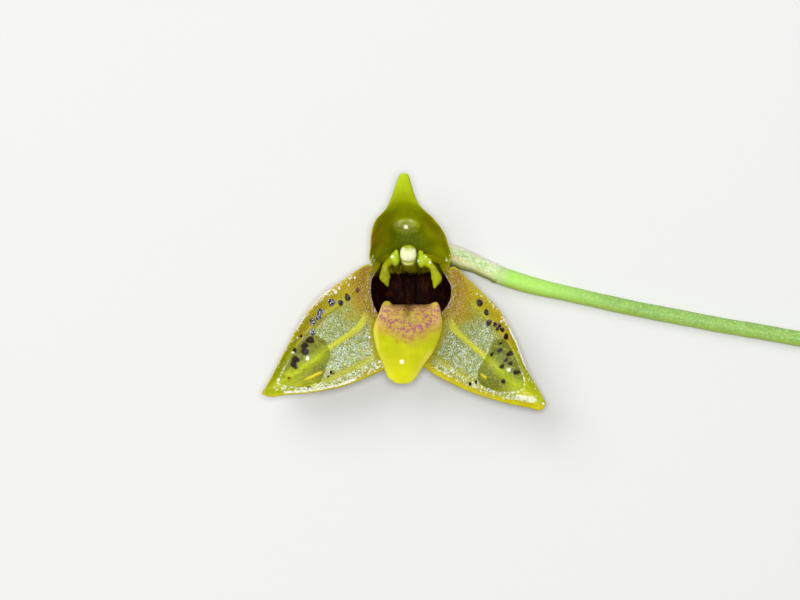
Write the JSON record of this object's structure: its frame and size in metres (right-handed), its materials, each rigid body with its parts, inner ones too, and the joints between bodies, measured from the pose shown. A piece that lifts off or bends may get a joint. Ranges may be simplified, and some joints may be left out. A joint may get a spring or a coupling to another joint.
{
  "type": "masdevallia orchid flower",
  "caption": "Single Masdevallia flower with cupped sepals, tongue-shaped lip and its cut stem, lying on its back.",
  "frame": {"origin": "middle of the flat spot under the sepal cup, on the surface that the flower lies on", "axes": "+Z out of the flower's face and up from the surface, +Y towards the tip of the dorsal sepal, +X towards the cut end of the stem"},
  "size_m": [0.047, 0.019, 0.0066],
  "materials": {
    "cup_tissue": "dark maroon inside, olive outside, moist satin",
    "dorsal_tissue": "olive green hood with brown tinges, satin",
    "lateral_tissue": "glistening grey-green papillose face with yellow veins and margins and purple-black warts",
    "petal_tissue": "waxy yellow-green, satin",
    "column_tissue": "olive green, satin",
    "anther_tissue": "creamy white, waxy",
    "lip_tissue": "glossy yellow tongue, pink with purple flecks at its bend",
    "ovary_tissue": "pale whitish green, ribbed, satin",
    "stem_tissue": "bright green, finely speckled, satin",
    "water": "clear water drops, in the visual model only"
  },
  "bodies": {
    "root": {"sepal_cup": "cup_tissue", "dorsal_sepal": "dorsal_tissue", "lateral_sepal_left": "lateral_tissue", "lateral_sepal_right": "lateral_tissue", "petal_left": "petal_tissue", "petal_right": "petal_tissue", "column": "column_tissue", "anther_cap": "anther_tissue", "lip": "lip_tissue", "ovary": "ovary_tissue", "stem": "stem_tissue"}
  },
  "joints": []
}
